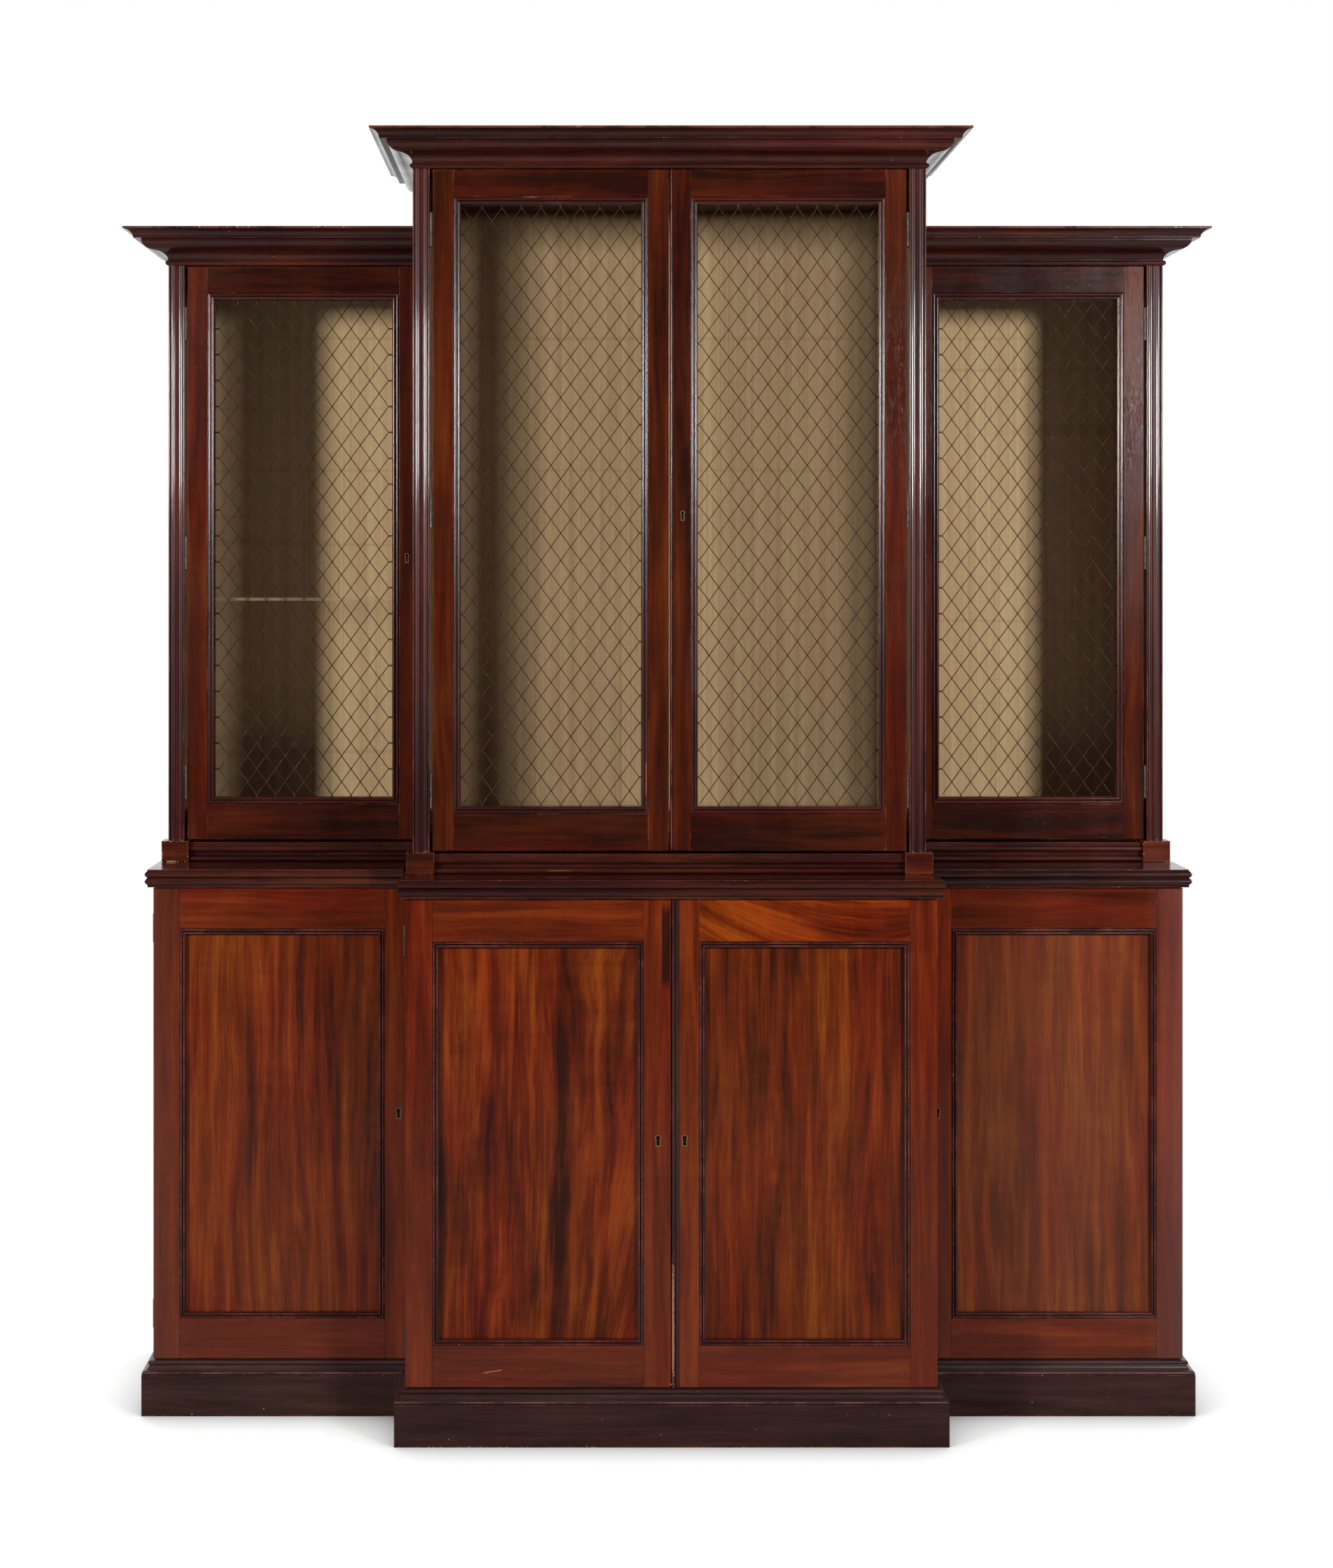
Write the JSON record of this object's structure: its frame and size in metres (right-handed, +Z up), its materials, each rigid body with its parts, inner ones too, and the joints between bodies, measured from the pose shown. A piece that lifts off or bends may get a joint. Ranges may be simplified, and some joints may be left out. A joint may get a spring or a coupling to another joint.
{
  "type": "breakfront bookcase",
  "caption": "Two-stage breakfront bookcase: grille-doored bookcases set back over panelled cupboards, each part under its own moulded cornice.",
  "frame": {"origin": "on the floor under the middle of the bookcase's overall box", "axes": "+Z up, +X to the viewer's right in front of it, +Y towards the wall behind it"},
  "size_m": [2.056, 0.539, 2.376],
  "materials": {
    "mahogany": "polished, worn red-brown mahogany",
    "dark_mahogany": "polished, very dark brown mahogany",
    "carcass_wood": "dull brown inside, with a streaked lining",
    "figured_veneer": "polished orange-brown veneer with upright figure",
    "bronzed_wire": "darkened brass wire",
    "brass": "aged brass",
    "shelf_glass": "clear glass, faintly green, with ground edges"
  },
  "bodies": {
    "carcass": {"plinth": "dark_mahogany", "base_case_left": "carcass_wood", "waist_board_left": "mahogany", "upper_case_left": "carcass_wood", "cornice_left": "dark_mahogany", "base_case_centre": "carcass_wood", "waist_board_centre": "mahogany", "upper_case_centre": "carcass_wood", "cornice_centre": "dark_mahogany", "base_case_right": "carcass_wood", "waist_board_right": "mahogany", "upper_case_right": "carcass_wood", "cornice_right": "dark_mahogany", "shelf_upper_left": "shelf_glass", "pilaster_left_outer": "mahogany", "pilaster_left_inner": "mahogany", "pilaster_right_inner": "mahogany", "pilaster_right_outer": "mahogany", "lower_hinge_left_bottom": "brass", "lower_hinge_left_top": "brass", "lower_hinge_centre_left_bottom": "brass", "lower_hinge_centre_left_top": "brass", "lower_hinge_centre_right_bottom": "brass", "lower_hinge_centre_right_top": "brass", "lower_hinge_right_bottom": "brass", "lower_hinge_right_top": "brass", "upper_hinge_left_bottom": "brass", "upper_hinge_left_middle": "brass", "upper_hinge_left_top": "brass", "upper_hinge_centre_left_bottom": "brass", "upper_hinge_centre_left_middle": "brass", "upper_hinge_centre_left_top": "brass", "upper_hinge_centre_right_bottom": "brass", "upper_hinge_centre_right_middle": "brass", "upper_hinge_centre_right_top": "brass", "upper_hinge_right_bottom": "brass", "upper_hinge_right_middle": "brass", "upper_hinge_right_top": "brass"},
    "door_lower_left": {"lower_door_frame_left": "mahogany", "lower_door_panel_left": "figured_veneer"},
    "lock_bolt_lower_left": {"lock_bolt_lower_left": "brass"},
    "door_lower_centre_left": {"lower_door_frame_centre_left": "mahogany", "lower_door_panel_centre_left": "figured_veneer"},
    "door_lower_centre_right": {"lower_door_frame_centre_right": "mahogany", "lower_door_panel_centre_right": "figured_veneer"},
    "lock_bolt_lower_centre_right": {"lock_bolt_lower_centre_right": "brass"},
    "door_lower_right": {"lower_door_frame_right": "mahogany", "lower_door_panel_right": "figured_veneer"},
    "lock_bolt_lower_right": {"lock_bolt_lower_right": "brass"},
    "door_upper_left": {"upper_door_frame_left": "dark_mahogany", "upper_grille_left": "bronzed_wire"},
    "lock_bolt_upper_left": {"lock_bolt_upper_left": "brass"},
    "door_upper_centre_left": {"upper_door_frame_centre_left": "dark_mahogany", "upper_grille_centre_left": "bronzed_wire"},
    "door_upper_centre_right": {"upper_door_frame_centre_right": "dark_mahogany", "upper_grille_centre_right": "bronzed_wire"},
    "lock_bolt_upper_centre_right": {"lock_bolt_upper_centre_right": "brass"},
    "door_upper_right": {"upper_door_frame_right": "dark_mahogany", "upper_grille_right": "bronzed_wire"},
    "lock_bolt_upper_right": {"lock_bolt_upper_right": "brass"}
  },
  "joints": [
    {"name": "door_lower_left_hinge", "type": "hinge", "parent": "carcass", "child": "door_lower_left", "pos_m": [-0.9636, -0.0717, 0.5405], "axis": [0, 0, -1], "range_deg": [0, 120]},
    {"name": "lock_bolt_lower_left_slide", "type": "slide", "parent": "door_lower_left", "child": "lock_bolt_lower_left", "axis": [1, 0, 0], "range_m": [0, 0.008]},
    {"name": "door_lower_centre_left_hinge", "type": "hinge", "parent": "carcass", "child": "door_lower_centre_left", "pos_m": [-0.4816, -0.2277, 0.5405], "axis": [0, 0, -1], "range_deg": [0, 120]},
    {"name": "door_lower_centre_right_hinge", "type": "hinge", "parent": "carcass", "child": "door_lower_centre_right", "pos_m": [0.4816, -0.2277, 0.5405], "axis": [0, 0, 1], "range_deg": [0, 120]},
    {"name": "lock_bolt_lower_centre_right_slide", "type": "slide", "parent": "door_lower_centre_right", "child": "lock_bolt_lower_centre_right", "axis": [-1, 0, 0], "range_m": [0, 0.008]},
    {"name": "door_lower_right_hinge", "type": "hinge", "parent": "carcass", "child": "door_lower_right", "pos_m": [0.9636, -0.0717, 0.5405], "axis": [0, 0, 1], "range_deg": [0, 120]},
    {"name": "lock_bolt_lower_right_slide", "type": "slide", "parent": "door_lower_right", "child": "lock_bolt_lower_right", "axis": [-1, 0, 0], "range_m": [0, 0.008]},
    {"name": "door_upper_left_hinge", "type": "hinge", "parent": "carcass", "child": "door_upper_left", "pos_m": [-0.9201, 0.0265, 1.60675], "axis": [0, 0, -1], "range_deg": [0, 120]},
    {"name": "lock_bolt_upper_left_slide", "type": "slide", "parent": "door_upper_left", "child": "lock_bolt_upper_left", "axis": [1, 0, 0], "range_m": [0, 0.008]},
    {"name": "door_upper_centre_left_hinge", "type": "hinge", "parent": "carcass", "child": "door_upper_centre_left", "pos_m": [-0.4381, -0.1625, 1.68325], "axis": [0, 0, -1], "range_deg": [0, 120]},
    {"name": "door_upper_centre_right_hinge", "type": "hinge", "parent": "carcass", "child": "door_upper_centre_right", "pos_m": [0.4381, -0.1625, 1.68325], "axis": [0, 0, 1], "range_deg": [0, 120]},
    {"name": "lock_bolt_upper_centre_right_slide", "type": "slide", "parent": "door_upper_centre_right", "child": "lock_bolt_upper_centre_right", "axis": [-1, 0, 0], "range_m": [0, 0.008]},
    {"name": "door_upper_right_hinge", "type": "hinge", "parent": "carcass", "child": "door_upper_right", "pos_m": [0.9201, 0.0265, 1.60675], "axis": [0, 0, 1], "range_deg": [0, 120]},
    {"name": "lock_bolt_upper_right_slide", "type": "slide", "parent": "door_upper_right", "child": "lock_bolt_upper_right", "axis": [-1, 0, 0], "range_m": [0, 0.008]}
  ]
}
